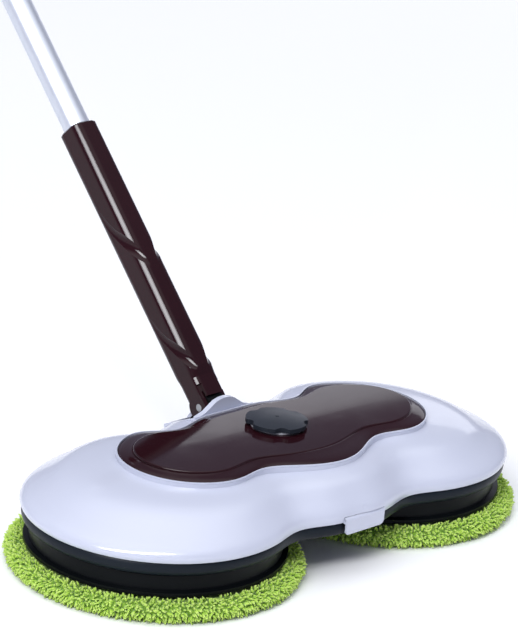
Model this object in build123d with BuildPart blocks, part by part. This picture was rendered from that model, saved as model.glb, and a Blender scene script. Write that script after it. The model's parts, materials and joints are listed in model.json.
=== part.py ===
"""Twin-disc floor sweeper: a lobed head on two counter-rotating pad discs, with a jointed telescopic pole.

Frame: +X to the right, +Y to the back, +Z up. The origin is on the floor, midway between the two pads.
The pole leans back over +Y, in the plane x = 0. All sizes are in millimetres.
"""

import os
from math import acos, cos, pi, radians, sin, tan

from build123d import *

os.makedirs("parts", exist_ok=True)

# ---- Driving dimensions -------------------------------------------------------------------------

# Gear train: four equal gears in a row carry the drive from disc to disc.
MODULE = 1.5
GEAR_TEETH = 53
PINION_TEETH = 18
PRESSURE_ANGLE = 20
BACKLASH = 0.2
GEAR_R = MODULE * GEAR_TEETH / 2
PINION_R = MODULE * PINION_TEETH / 2
GEAR_Z = (40, 48)
HUB_R = 9
HUB_TOP = 49.8
PINION_ANGLE = -50  # direction from the left idler's axis to the pinion's

# Places of the four gears along X, from left to right
PAD_X = 3 * GEAR_R
IDLER_X = GEAR_R
PINION_X = -IDLER_X + (GEAR_R + PINION_R) * cos(radians(PINION_ANGLE))
PINION_Y = (GEAR_R + PINION_R) * sin(radians(PINION_ANGLE))

# Pads and discs
PAD_R = 112
PAD_SOLE_R = 104
PAD_TOP_R = 101
PAD_TOP = 15.5
HOOK_R = 92
DISC_Z = (17, 32)
DISC_R = 94.5
DISC_FOOT_R = 98.5

# Head: heights of its layers
TRAY_BOTTOM = 33.3
TRAY_FLOOR = 35.8
CASE_TOP = 50
LID_TOP = 52.5
LOBE_R = 102

# Cover seat: insets from the cover's edge line
LIP = 1.2
LIP_TOP = 80
LEDGE = 7
LEDGE_Z = (73.6, 76)

# Fits
RUNNING = 0.05

# Neck joint: the head's pin runs along Y, the neck's pin along X
SWING_Z = 58
TILT_Y = 72
TILT_Z = 77
NECK_ELEVATION = 46
PIN_R = 3
BRACKET_X = 31
BRACKET_Y = (56, 89.6)
BRACKET_Z = 45

# Neck and pole, as distances along the pole from the tilt pin
NECK_TOP = 249
NECK_WIDTH = 25
NECK_DEPTH = 25.5
NECK_CORNER = 7
EAR_R = 10.5
FORK_TOP = 10.2
FORK_HALF = 8.35
TUBE_R = 11
TUBE_WALL = 1
TUBE_FOOT = 100
TUBE_TOP = 620
INNER_R = 9.5
INNER_WALL = 0.9
INNER_FOOT = 410
INNER_TOP = 1000
COLLAR_S = (596, 650)
GRIP_S = (880, 1030)
HANG_S = 1040
HANG_R = 5

# Screws
SCREW_R = 1.5
SCREW_HEAD_R = 3

# Planes of the pole: "across" cuts it square, "side" looks along X
POLE_AXIS = (0, cos(radians(NECK_ELEVATION)), sin(radians(NECK_ELEVATION)))
TILT_POINT = (0, TILT_Y, TILT_Z)
POLE = Plane(origin=TILT_POINT, x_dir=(1, 0, 0), z_dir=POLE_AXIS)


# ---- Outline of the head ------------------------------------------------------------------------


def lobe(centre_x, radius_x, radius_y, reach):
    """Seven points of the right-hand lobe, from its front, round its end, to its back."""
    angles = [radians(reach * step / 3) for step in range(-3, 4)]
    return [(centre_x + radius_x * cos(a), radius_y * sin(a)) for a in angles]


# Right half of each ring, from the front middle to the back middle: bump, notch, lobe, notch, bump.
FOOT_RING = [(0, -100), (30, -97), (60, -90)]
FOOT_RING += lobe(PAD_X, LOBE_R, LOBE_R, 108)
FOOT_RING += [(64, 86), (32, 97.5), (0, 100)]
EDGE_RING = [(0, -72), (32, -63), (62, -50.5)]
EDGE_RING += lobe(92, 54, 55, 90)
EDGE_RING += [(66, 44), (34, 50.5), (0, 52)]
PANEL_RING = [(0, -49), (32, -44.5), (60, -38)]
PANEL_RING += lobe(90, 45, 41.5, 90)
PANEL_RING += [(64, 34.5), (34, 39), (0, 40.5)]
RINGS = (FOOT_RING, EDGE_RING, PANEL_RING)


def ring_points(level, inset):
    """Closed ring of points. Level 0 is the head's foot, 1 the cover's edge and 2 its raised panel."""
    lower = min(int(level), len(RINGS) - 2)
    share = level - lower
    pairs = zip(RINGS[lower], RINGS[lower + 1])
    right = [(a[0] + share * (b[0] - a[0]), a[1] + share * (b[1] - a[1])) for a, b in pairs]
    ring = right + [(-x, y) for x, y in right[-2:0:-1]]
    moved = []
    for i, (x, y) in enumerate(ring):
        before, after = ring[i - 1], ring[(i + 1) % len(ring)]
        along = Vector(after[0] - before[0], after[1] - before[1]).normalized()
        moved.append((x - inset * along.Y, y + inset * along.X))
    return moved


def head_section(height, level, inset=0.0):
    """Flat face of the head's outline at one height."""
    with BuildSketch(Plane.XY.offset(height)) as section:
        with BuildLine():
            Spline(*ring_points(level, inset), periodic=True)
        make_face()
    return section.sketch


# ---- Small helpers ------------------------------------------------------------------------------


def box_between(low, high, mode=Mode.ADD):
    """Box between two opposite corners."""
    middle = tuple((a + b) / 2 for a, b in zip(low, high))
    with Locations(middle):
        Box(*[b - a for a, b in zip(low, high)], mode=mode)


def rod(start, direction, radius, length, mode=Mode.ADD):
    """Cylinder that starts at a point and runs along a direction."""
    with Locations(Plane(origin=start, z_dir=direction)):
        Cylinder(radius, length, align=(Align.CENTER, Align.CENTER, Align.MIN), mode=mode)


def on_pole(across, depth, along):
    """Point given by its places across the pole, behind its axis and along it."""
    return POLE.from_local_coords(Vector(across, depth, along))


def involute(angle):
    return tan(angle) - angle


def gear_points(teeth, phase):
    """Outline of a spur gear, one tooth after another; phase is the first tooth's direction in degrees."""
    pitch_r = MODULE * teeth / 2
    base_r = pitch_r * cos(radians(PRESSURE_ANGLE))
    root_r = pitch_r - 1.25 * MODULE
    tip_r = pitch_r + MODULE
    start_r = max(root_r, base_r)
    half_pitch = (pi * MODULE / 2 - BACKLASH) / (2 * pitch_r)
    flank = []
    for step in range(4):
        radius = start_r + (tip_r - start_r) * step / 3
        turn = involute(radians(PRESSURE_ANGLE)) - involute(acos(min(1, base_r / radius)))
        flank.append((radius, half_pitch + turn))
    if root_r < base_r:
        flank.insert(0, (root_r, flank[0][1]))
    points = []
    for tooth in range(teeth):
        middle = radians(phase) + 2 * pi * tooth / teeth
        for radius, half in flank:
            points.append((radius * cos(middle - half), radius * sin(middle - half)))
        for radius, half in reversed(flank):
            points.append((radius * cos(middle + half), radius * sin(middle + half)))
    return points


def gear_face(centre_x, centre_y, teeth, phase):
    """Flat face of a gear at the bottom of the gear train."""
    with BuildSketch(Plane(origin=(centre_x, centre_y, GEAR_Z[0]))) as face:
        with BuildLine():
            Polyline(*gear_points(teeth, phase), close=True)
        make_face()
    return face.sketch


def gearcase_face(height, wall):
    """Flat face that surrounds the whole gear train, wall outside its running room."""
    with BuildSketch(Plane.XY.offset(height)) as face:
        with Locations((-PAD_X, 0), (-IDLER_X, 0), (IDLER_X, 0), (PAD_X, 0)):
            Circle(GEAR_R + 4 + wall)
        with Locations((PINION_X, PINION_Y)):
            Circle(PINION_R + 4 + wall)
    return face.sketch


# ---- Top shell ----------------------------------------------------------------------------------

# Height, level and inset of each ring of the shell's outer skin, and of the hollow under it
SHELL_SKIN = ((44, 0, 0.3), (50, 0, 0), (55.5, 0.1, 0), (63, 0.3, 0), (71.5, 0.6, 0), (79, 1, 0))
SHELL_HOLLOW = ((43, 0, 2.5), (48.5, 0, 2.5), (53, 0.1, 2), (60.2, 0.3, 1), (68.7, 0.6, 0.6), (76.5, 1, 0))
SCREW_PLACES = [(sx * x, sy * y) for x, y in ((66, 72), (176, 57)) for sx in (-1, 1) for sy in (-1, 1)]
POST_R = 4.5
POST_TOP = 45

# Front latch: hinge line, barrel and the finger dimple above it
LATCH_X = (-22.5, 18.5)
LATCH_Y = -98.8
LATCH_Z = 45.6
BARREL_R = 2.4
LATCH_PIN_R = 0.8
KNUCKLE_R = 1.6
EARS_X = (-12, 6)
EAR_WIDTH = 4
DIMPLE_R = 9
DIMPLE = (-3, -106.2, 57)

with BuildPart() as shell_form:
    loft([head_section(*ring) for ring in SHELL_SKIN])

with BuildPart() as shell_posts:
    for x, y in SCREW_PLACES:
        rod((x, y, POST_TOP), (0, 0, 1), POST_R, 40)
    add(shell_form.part, mode=Mode.INTERSECT)
    for x, y in SCREW_PLACES:
        rod((x, y, POST_TOP), (0, 0, 1), SCREW_R, 10, mode=Mode.SUBTRACT)

with BuildPart() as top_shell:
    add(shell_form.part)
    loft([head_section(*ring) for ring in SHELL_HOLLOW], mode=Mode.SUBTRACT)
    extrude(head_section(LEDGE_Z[0], 1, 0.4), amount=LIP_TOP - LEDGE_Z[0])
    extrude(head_section(LEDGE_Z[1], 1, LIP), amount=10, mode=Mode.SUBTRACT)
    extrude(head_section(70, 1, LEDGE), amount=10, mode=Mode.SUBTRACT)
    add(shell_posts.part)
    # opening for the pivot bracket, and the notch that holds the front latch's hinge
    low = (-BRACKET_X - 0.4, BRACKET_Y[0] - 0.4, 40)
    box_between(low, (BRACKET_X + 0.4, BRACKET_Y[1] + 0.4, 95), Mode.SUBTRACT)
    high = (LATCH_X[1] + 0.5, -94, LATCH_Z + BARREL_R + 0.4)
    box_between((LATCH_X[0] - 0.5, -104, 40), high, Mode.SUBTRACT)
    with Locations(DIMPLE):
        Sphere(DIMPLE_R, mode=Mode.SUBTRACT)
top_shell.part.label = "top_shell"
export_step(top_shell.part, "parts/top_shell.step")

# ---- Chassis tray -------------------------------------------------------------------------------

TRAY_SKIN = ((33.3, 0, 5), (34.2, 0, 2.6), (36.5, 0, 1.2), (44, 0, 2.4))
BUSH_R = 8
BUSH_BOSS_R = 12
BUSH_TOP = 38
AXLE_R = 3
BRACKET_POSTS = [(sx * 24, y) for y in (64.5, 81.5) for sx in (-1, 1)]
SWITCH_X = 26
SWITCH_HALF = 9
SWITCH_Z = (35.8, 43.9)
SOCKET_X = -26
SOCKET_Z = 39.9
SOCKET_R = 4

with BuildPart() as chassis:
    loft([head_section(*ring) for ring in TRAY_SKIN])
    extrude(head_section(44, 0, 3.2), amount=4)
    extrude(head_section(TRAY_FLOOR, 0, 5.6), amount=20, mode=Mode.SUBTRACT)
    # gearcase wall, open above
    extrude(gearcase_face(TRAY_FLOOR, 2), amount=CASE_TOP - TRAY_FLOOR)
    extrude(gearcase_face(TRAY_FLOOR, 0), amount=20, mode=Mode.SUBTRACT)
    for x in (-PAD_X, PAD_X):
        rod((x, 0, TRAY_FLOOR), (0, 0, 1), BUSH_BOSS_R, BUSH_TOP - TRAY_FLOOR)
        rod((x, 0, 30), (0, 0, 1), BUSH_R, 20, mode=Mode.SUBTRACT)
    for x in (-IDLER_X, IDLER_X):
        rod((x, 0, TRAY_FLOOR), (0, 0, 1), 6, BUSH_TOP - TRAY_FLOOR)
        rod((x, 0, TRAY_FLOOR), (0, 0, 1), AXLE_R, 20, mode=Mode.SUBTRACT)
    for x, y in SCREW_PLACES:
        rod((x, y, TRAY_FLOOR), (0, 0, 1), POST_R, POST_TOP - TRAY_FLOOR)
        rod((x, y, 30), (0, 0, 1), SCREW_R, 20, mode=Mode.SUBTRACT)
        rod((x, y, 30), (0, 0, 1), SCREW_HEAD_R, 6, mode=Mode.SUBTRACT)
    for x, y in BRACKET_POSTS:
        rod((x, y, TRAY_FLOOR), (0, 0, 1), 4, BRACKET_Z - TRAY_FLOOR)
        rod((x, y, TRAY_FLOOR + 1), (0, 0, 1), SCREW_R, 20, mode=Mode.SUBTRACT)
    # rear wall: windows for the power switch and the charging socket
    low = (SWITCH_X - SWITCH_HALF, 88, SWITCH_Z[0])
    box_between(low, (SWITCH_X + SWITCH_HALF, 106, SWITCH_Z[1]), Mode.SUBTRACT)
    rod((SOCKET_X, 88, SOCKET_Z), (0, 1, 0), SOCKET_R, 18, mode=Mode.SUBTRACT)
    # front: room for the latch and two knuckles that carry its pin
    box_between((LATCH_X[0] - 0.5, -104, 33), (LATCH_X[1] + 0.5, LATCH_Y + BARREL_R + 0.8, 50), Mode.SUBTRACT)
    for x in EARS_X:
        rod((x, LATCH_Y, LATCH_Z), (1, 0, 0), KNUCKLE_R, EAR_WIDTH)
        box_between((x, LATCH_Y, LATCH_Z - KNUCKLE_R), (x + EAR_WIDTH, LATCH_Y + 4, LATCH_Z))
    rod((LATCH_X[0], LATCH_Y, LATCH_Z), (1, 0, 0), LATCH_PIN_R, 41, mode=Mode.SUBTRACT)
chassis.part.label = "chassis"
export_step(chassis.part, "parts/chassis.step")

# ---- Gearcase lid -------------------------------------------------------------------------------

STUD_R = 4
STUD_FOOT = 58
TOWER_TOP = 70

with BuildPart() as gearcase_lid:
    extrude(gearcase_face(CASE_TOP, 2), amount=LID_TOP - CASE_TOP)
    rod((0, 0, LID_TOP), (0, 0, 1), STUD_R + 4, TOWER_TOP - LID_TOP)
    rod((0, 0, STUD_FOOT - 1), (0, 0, 1), STUD_R + RUNNING, 20, mode=Mode.SUBTRACT)
    for x in (-PAD_X, PAD_X):
        rod((x, 0, LID_TOP), (0, 0, 1), 6, 2)
        rod((x, 0, 45), (0, 0, 1), AXLE_R + RUNNING, 9, mode=Mode.SUBTRACT)
    for x in (-IDLER_X, IDLER_X):
        rod((x, 0, 45), (0, 0, 1), AXLE_R, 6.5, mode=Mode.SUBTRACT)
    rod((PINION_X, PINION_Y, 45), (0, 0, 1), PINION_R + 2, 20, mode=Mode.SUBTRACT)
gearcase_lid.part.label = "gearcase_lid"
export_step(gearcase_lid.part, "parts/gearcase_lid.step")

# ---- Left and right drive: disc, hook sheet, pad, spindle, gear, bush, screw ---------------------

HEX_ACROSS_FLATS = 9
JOURNAL_R = 5.5
JOURNAL_Z = (32, 38.6)
DISC_SCREW_R = 2

for side, centre in (("left", -PAD_X), ("right", PAD_X)):
    upright = Plane(origin=(centre, 0, 0), x_dir=(1, 0, 0), z_dir=(0, -1, 0))
    spin_axis = Axis((centre, 0, 0), (0, 0, 1))

    with BuildPart() as disc:
        with BuildSketch(upright):
            with BuildLine():
                Polyline((0, 17), (DISC_FOOT_R, 17), (DISC_FOOT_R, 19.5), (DISC_R, 20.5), (DISC_R, 32))
                Line((DISC_R, 32), (DISC_R - 3, 32))
                Polyline((DISC_R - 3, 32), (DISC_R - 3, 20.5), (13, 20.5), (13, 32), (0, 32), (0, 17))
            make_face()
        revolve(axis=spin_axis)
        with Locations(Plane(origin=(centre, 0, 20))):
            with PolarLocations(0, 10):
                with Locations((52.5, 0, 3.5)):
                    Box(82, 2, 7)
        with BuildSketch(Plane(origin=(centre, 0, 20))):
            RegularPolygon(HEX_ACROSS_FLATS / 2, 6, major_radius=False)
        extrude(amount=20, mode=Mode.SUBTRACT)
        rod((centre, 0, 10), (0, 0, 1), DISC_SCREW_R, 20, mode=Mode.SUBTRACT)
        rod((centre, 0, 10), (0, 0, 1), 4, 9.5, mode=Mode.SUBTRACT)
        rim = disc.edges().filter_by(GeomType.CIRCLE).group_by(Axis.Z)[-1].sort_by(SortBy.RADIUS)[-1]
        fillet(rim, 1)
    disc.part.label = f"disc_{side}"
    export_step(disc.part, f"parts/disc_{side}.step")

    with BuildPart() as hook:
        with BuildSketch(Plane(origin=(centre, 0, PAD_TOP))):
            Circle(HOOK_R)
            Circle(20, mode=Mode.SUBTRACT)
        extrude(amount=DISC_Z[0] - PAD_TOP)
    hook.part.label = f"hook_{side}"
    export_step(hook.part, f"parts/hook_{side}.step")

    with BuildPart() as pad:
        with BuildSketch(upright):
            with BuildLine():
                Line((0, 0), (PAD_SOLE_R, 0))
                ThreePointArc((PAD_SOLE_R, 0), (PAD_R - 2.2, 2.7), (PAD_R, 8.5))
                ThreePointArc((PAD_R, 8.5), (PAD_R - 3, 13), (PAD_TOP_R, PAD_TOP))
                Polyline((PAD_TOP_R, PAD_TOP), (0, PAD_TOP), (0, 0))
            make_face()
        revolve(axis=spin_axis)
    pad.part.label = f"pad_{side}"
    export_step(pad.part, f"parts/pad_{side}.step")

    with BuildPart() as spindle:
        with BuildSketch(Plane(origin=(centre, 0, 20.5))):
            RegularPolygon(HEX_ACROSS_FLATS / 2, 6, major_radius=False)
        extrude(amount=HUB_TOP - 20.5)
        rod((centre, 0, JOURNAL_Z[0]), (0, 0, 1), JOURNAL_R, JOURNAL_Z[1] - JOURNAL_Z[0])
        rod((centre, 0, HUB_TOP), (0, 0, 1), AXLE_R, 4)
        rod((centre, 0, 20), (0, 0, 1), DISC_SCREW_R, 10, mode=Mode.SUBTRACT)
    spindle.part.label = f"spindle_{side}"
    export_step(spindle.part, f"parts/spindle_{side}.step")

    with BuildPart() as output_gear:
        extrude(gear_face(centre, 0, GEAR_TEETH, 0), amount=GEAR_Z[1] - GEAR_Z[0])
        rod((centre, 0, JOURNAL_Z[1]), (0, 0, 1), HUB_R, HUB_TOP - JOURNAL_Z[1])
        with Locations(Plane(origin=(centre, 0, 35))):
            with PolarLocations(23, 6, start_angle=30):
                Cylinder(7.5, 40, mode=Mode.SUBTRACT)
        with BuildSketch(Plane(origin=(centre, 0, 35))):
            RegularPolygon(HEX_ACROSS_FLATS / 2, 6, major_radius=False)
        extrude(amount=20, mode=Mode.SUBTRACT)
    output_gear.part.label = f"output_gear_{side}"
    export_step(output_gear.part, f"parts/output_gear_{side}.step")

    with BuildPart() as spindle_bush:
        rod((centre, 0, TRAY_BOTTOM + 0.2), (0, 0, 1), BUSH_R, BUSH_TOP - TRAY_BOTTOM - 0.2)
        rod((centre, 0, 30), (0, 0, 1), JOURNAL_R + RUNNING, 12, mode=Mode.SUBTRACT)
    spindle_bush.part.label = f"spindle_bush_{side}"
    export_step(spindle_bush.part, f"parts/spindle_bush_{side}.step")

    with BuildPart() as disc_screw:
        rod((centre, 0, 17.2), (0, 0, 1), 3.8, 2.3)
        rod((centre, 0, 19), (0, 0, 1), DISC_SCREW_R, 10)
        with BuildSketch(Plane(origin=(centre, 0, 17))):
            RegularPolygon(1.5, 6)
        extrude(amount=1.8, mode=Mode.SUBTRACT)
    disc_screw.part.label = f"disc_screw_{side}"
    export_step(disc_screw.part, f"parts/disc_screw_{side}.step")

# ---- Idlers, their axles, and the motor ----------------------------------------------------------

for side, centre in (("left", -IDLER_X), ("right", IDLER_X)):
    with BuildPart() as idler:
        extrude(gear_face(centre, 0, GEAR_TEETH, 0), amount=GEAR_Z[1] - GEAR_Z[0])
        rod((centre, 0, JOURNAL_Z[1]), (0, 0, 1), HUB_R, HUB_TOP - JOURNAL_Z[1])
        with Locations(Plane(origin=(centre, 0, 35))):
            with PolarLocations(23, 6, start_angle=30):
                Cylinder(7.5, 40, mode=Mode.SUBTRACT)
        rod((centre, 0, 35), (0, 0, 1), AXLE_R + RUNNING, 20, mode=Mode.SUBTRACT)
    idler.part.label = f"idler_gear_{side}"
    export_step(idler.part, f"parts/idler_gear_{side}.step")

    with BuildPart() as idler_axle:
        rod((centre, 0, TRAY_FLOOR), (0, 0, 1), AXLE_R, 51.5 - TRAY_FLOOR)
    idler_axle.part.label = f"idler_axle_{side}"
    export_step(idler_axle.part, f"parts/idler_axle_{side}.step")

# A pinion tooth faces a gap of the idler on the line between their centres.
GEAR_STEP = 360 / GEAR_TEETH
PINION_STEP = 360 / PINION_TEETH
TOOTH_SHARE = (PINION_ANGLE / GEAR_STEP) % 1
PINION_PHASE = PINION_ANGLE + 180 + (TOOTH_SHARE - 0.5) * PINION_STEP
GEARHEAD_R = 18.5
GEARHEAD_TOP = 63.5
MOTOR_R = 16.5
MOTOR_TOP = 75.5

with BuildPart() as pinion:
    extrude(gear_face(PINION_X, PINION_Y, PINION_TEETH, PINION_PHASE), amount=GEAR_Z[1] - GEAR_Z[0])
    rod((PINION_X, PINION_Y, GEAR_Z[1]), (0, 0, 1), 8, HUB_TOP - GEAR_Z[1])
    rod((PINION_X, PINION_Y, 35), (0, 0, 1), AXLE_R, 20, mode=Mode.SUBTRACT)
pinion.part.label = "pinion"
export_step(pinion.part, "parts/pinion.step")

with BuildPart() as drive_shaft:
    rod((PINION_X, PINION_Y, GEAR_Z[0]), (0, 0, 1), AXLE_R, 60 - GEAR_Z[0])
drive_shaft.part.label = "drive_shaft"
export_step(drive_shaft.part, "parts/drive_shaft.step")

with BuildPart() as gearhead:
    rod((PINION_X, PINION_Y, LID_TOP), (0, 0, 1), GEARHEAD_R, GEARHEAD_TOP - LID_TOP)
    rod((PINION_X, PINION_Y, 50), (0, 0, 1), AXLE_R + RUNNING, 11, mode=Mode.SUBTRACT)
    chamfer(gearhead.edges().group_by(Axis.Z)[-1], 1)
gearhead.part.label = "gearhead"
export_step(gearhead.part, "parts/gearhead.step")

with BuildPart() as motor:
    rod((PINION_X, PINION_Y, GEARHEAD_TOP), (0, 0, 1), MOTOR_R, MOTOR_TOP - GEARHEAD_TOP)
    fillet(motor.edges().group_by(Axis.Z)[-1], 1.5)
    with Locations(Plane(origin=(PINION_X, PINION_Y, MOTOR_TOP))):
        with PolarLocations(10, 6):
            Cylinder(1.6, 3, mode=Mode.SUBTRACT)
motor.part.label = "motor"
export_step(motor.part, "parts/motor.step")

# ---- Battery and electronics ---------------------------------------------------------------------

CELL_R = 9.2
CELL_LENGTH = 65
CELL_X = 34
CELL_Z = 66.2
BOARD_Z = 58

with BuildPart() as battery_cells:
    for y in (-19.5, 0, 19.5):
        rod((CELL_X, y, CELL_Z), (1, 0, 0), CELL_R, CELL_LENGTH)
        rod((CELL_X + CELL_LENGTH, y, CELL_Z), (1, 0, 0), 3, 1.2)
battery_cells.part.label = "battery_cells"
export_step(battery_cells.part, "parts/battery_cells.step")

with BuildPart() as battery_tray:
    box_between((31, -31, LID_TOP), (103, 31, 67))
    box_between((33.8, -29.5, LID_TOP + 4), (100.4, 29.5, 80), Mode.SUBTRACT)
    for y in (-9.75, 9.75):
        box_between((31, y - 3, LID_TOP), (103, y + 3, 60))
    for y in (-19.5, 0, 19.5):
        rod((33.8, y, CELL_Z), (1, 0, 0), CELL_R + 0.05, CELL_LENGTH + 1.6, mode=Mode.SUBTRACT)
battery_tray.part.label = "battery_tray"
export_step(battery_tray.part, "parts/battery_tray.step")

with BuildPart() as control_board:
    box_between((-108, -26, BOARD_Z), (-52, 26, BOARD_Z + 1.6))
    for x, y in ((-104, -22), (-104, 22), (-56, -22), (-56, 22)):
        rod((x, y, LID_TOP), (0, 0, 1), 2.5, BOARD_Z - LID_TOP)
    for x, y, radius in ((-98, 8, 4), (-86, 8, 4), (-64, 14, 3)):
        rod((x, y, BOARD_Z + 1.6), (0, 0, 1), radius, 9)
    box_between((-92, -18, BOARD_Z + 1.6), (-76, -4, BOARD_Z + 4))
    box_between((-68, -16, BOARD_Z + 1.6), (-60, -2, BOARD_Z + 8))
control_board.part.label = "control_board"
export_step(control_board.part, "parts/control_board.step")

with BuildPart() as charge_socket:
    rod((SOCKET_X, 87, SOCKET_Z), (0, 1, 0), SOCKET_R, 11)
    rod((SOCKET_X, 98, SOCKET_Z), (0, 1, 0), SOCKET_R - 0.2, 0.8)
    rod((SOCKET_X, 88.8, SOCKET_Z), (0, 1, 0), 2.75, 12, mode=Mode.SUBTRACT)
charge_socket.part.label = "charge_socket"
export_step(charge_socket.part, "parts/charge_socket.step")

ROCKER_Y = 95.5
ROCKER_TILT = -8

with BuildPart() as switch_housing:
    low = (SWITCH_X - SWITCH_HALF, 88, SWITCH_Z[0])
    box_between(low, (SWITCH_X + SWITCH_HALF, 98.6, SWITCH_Z[1]))
    cavity = (SWITCH_X - 7.4, 89.6, SWITCH_Z[0] + 0.9)
    box_between(cavity, (SWITCH_X + 7.4, 102, SWITCH_Z[1] - 0.9), Mode.SUBTRACT)
    pivot_height = SWITCH_Z[1] - SWITCH_Z[0] - 0.4
    rod((SWITCH_X, ROCKER_Y, SWITCH_Z[0] + 0.2), (0, 0, 1), 1.05, pivot_height, mode=Mode.SUBTRACT)
switch_housing.part.label = "switch_housing"
export_step(switch_housing.part, "parts/switch_housing.step")

with BuildPart() as power_rocker:
    rocker_plane = Plane(origin=(SWITCH_X, ROCKER_Y, SWITCH_Z[0] + 1.2)).rotated((0, 0, ROCKER_TILT))
    with BuildSketch(rocker_plane):
        with BuildLine():
            Polyline((6.4, 3.2), (6.4, -2), (2, -5), (-2, -5), (-6.4, -2), (-6.4, 3.2), (0, 2.4), close=True)
        make_face()
    extrude(amount=SWITCH_Z[1] - SWITCH_Z[0] - 2.4)
    rod((SWITCH_X, ROCKER_Y, SWITCH_Z[0] + 0.3), (0, 0, 1), 1, SWITCH_Z[1] - SWITCH_Z[0] - 0.6)
power_rocker.part.label = "power_rocker"
export_step(power_rocker.part, "parts/power_rocker.step")

# ---- Cover and star knob --------------------------------------------------------------------------

# Height, level and inset of each ring of the cover's skin
COVER_SKIN = ((79, 1, 1.8), (80.2, 1.2, 1.7), (81.5, 1.75, 0.9), (82, 1.96, 0))
COVER_HOLLOW = ((77, 1, 4.4), (78, 1.25, 2.8), (79.2, 1.8, 1.6))
PANEL_TOP = 84.2
PANEL_CROWN_R = 700
KNOB_R = 24
KNOB_Z = (86.2, 91.4)
CROWN_R = 150
SEAT_TOP = 85.8

with BuildPart() as panel_form:
    extrude(head_section(80, 2, 0.2), amount=8)
    with Locations(Location((0, 0, PANEL_TOP - PANEL_CROWN_R), (0, 90, 0))):
        Cylinder(PANEL_CROWN_R, 400, mode=Mode.INTERSECT)
    fillet(panel_form.edges().group_by(Axis.Z)[-1], 1)

with BuildPart() as top_cover:
    extrude(head_section(76.1, 1, 1.8), amount=2.9)
    loft([head_section(*ring) for ring in COVER_SKIN])
    add(panel_form.part)
    extrude(head_section(76, 1, 4.4), amount=1, mode=Mode.SUBTRACT)
    loft([head_section(*ring) for ring in COVER_HOLLOW], mode=Mode.SUBTRACT)
    extrude(head_section(78, 2, 2.6), amount=3, mode=Mode.SUBTRACT)
    rod((0, 0, 76), (0, 0, 1), STUD_R + RUNNING, 20, mode=Mode.SUBTRACT)
top_cover.part.label = "top_cover"
export_step(top_cover.part, "parts/top_cover.step")

with BuildPart() as knob_seat:
    rod((0, 0, PANEL_TOP), (0, 0, 1), 20, SEAT_TOP - PANEL_TOP)
    rod((0, 0, 80), (0, 0, 1), STUD_R + RUNNING, 10, mode=Mode.SUBTRACT)
    fillet(knob_seat.edges().group_by(Axis.Z)[-1].sort_by(SortBy.RADIUS)[-1], 0.8)
knob_seat.part.label = "knob_seat"
export_step(knob_seat.part, "parts/knob_seat.step")

with BuildPart() as star_knob:
    with BuildSketch(Plane.XY.offset(KNOB_Z[0])) as star:
        Circle(KNOB_R)
        with PolarLocations(KNOB_R + 2.8, 5, start_angle=163):
            Circle(6, mode=Mode.SUBTRACT)
        fillet(star.vertices(), 2)
    extrude(amount=KNOB_Z[1] - KNOB_Z[0] + 1)
    with Locations((0, 0, KNOB_Z[1] - CROWN_R)):
        Sphere(CROWN_R, mode=Mode.INTERSECT)
    with Locations((0, 0, KNOB_Z[1] + 1.2)):
        Sphere(2, mode=Mode.SUBTRACT)
    rod((0, 0, KNOB_Z[0] - 1), (0, 0, 1), STUD_R, 4, mode=Mode.SUBTRACT)
star_knob.part.label = "star_knob"
export_step(star_knob.part, "parts/star_knob.step")

with BuildPart() as cover_stud:
    rod((0, 0, STUD_FOOT), (0, 0, 1), STUD_R, KNOB_Z[0] + 3 - STUD_FOOT)
    chamfer(cover_stud.edges().group_by(Axis.Z)[0], 1)
cover_stud.part.label = "cover_stud"
export_step(cover_stud.part, "parts/cover_stud.step")

# ---- Front latch ----------------------------------------------------------------------------------

LATCH_FACE = LATCH_Y - BARREL_R
LATCH_FOOT = 34.6
LATCH_WALL = 1.6

with BuildPart() as front_latch:
    with BuildSketch(Plane(origin=(LATCH_X[0], 0, 0), x_dir=(0, 1, 0), z_dir=(1, 0, 0))):
        with Locations((LATCH_Y, LATCH_Z)):
            Circle(BARREL_R)
        with BuildLine():
            Polyline(
                (LATCH_FACE, LATCH_Z),
                (LATCH_FACE, LATCH_FOOT + 3),
                (LATCH_FACE + 0.6, LATCH_FOOT),
                (LATCH_FACE + 0.6 + LATCH_WALL, LATCH_FOOT),
                (LATCH_FACE + LATCH_WALL, LATCH_FOOT + 3),
                (LATCH_FACE + LATCH_WALL, LATCH_Z),
                close=True,
            )
        make_face()
    extrude(amount=LATCH_X[1] - LATCH_X[0])
    corners = front_latch.edges().filter_by(lambda e: e.length < 3).group_by(Axis.Z)[0]
    fillet(corners.filter_by(Axis.Y), 3.5)
    # behind its smooth face the barrel is open round each knuckle, for the strap's whole travel
    for x in EARS_X:
        rod((x - 0.3, LATCH_Y, LATCH_Z), (1, 0, 0), KNUCKLE_R + 0.15, EAR_WIDTH + 0.6, mode=Mode.SUBTRACT)
        low = (x - 0.3, LATCH_Y, LATCH_Z - BARREL_R - 0.1)
        box_between(low, (x + EAR_WIDTH + 0.3, LATCH_Y + 4, LATCH_Z + BARREL_R), Mode.SUBTRACT)
    rod((LATCH_X[0] - 1, LATCH_Y, LATCH_Z), (1, 0, 0), LATCH_PIN_R + RUNNING, 44, mode=Mode.SUBTRACT)
front_latch.part.label = "front_latch"
export_step(front_latch.part, "parts/front_latch.step")

with BuildPart() as latch_pin:
    rod((LATCH_X[0] + 1, LATCH_Y, LATCH_Z), (1, 0, 0), LATCH_PIN_R, LATCH_X[1] - LATCH_X[0] - 2)
latch_pin.part.label = "latch_pin"
export_step(latch_pin.part, "parts/latch_pin.step")

# ---- Pivot bracket, knuckle and pins ----------------------------------------------------------------

CHEEK_Y = (BRACKET_Y[0], 60.5)
BACK_WALL = 86

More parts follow.
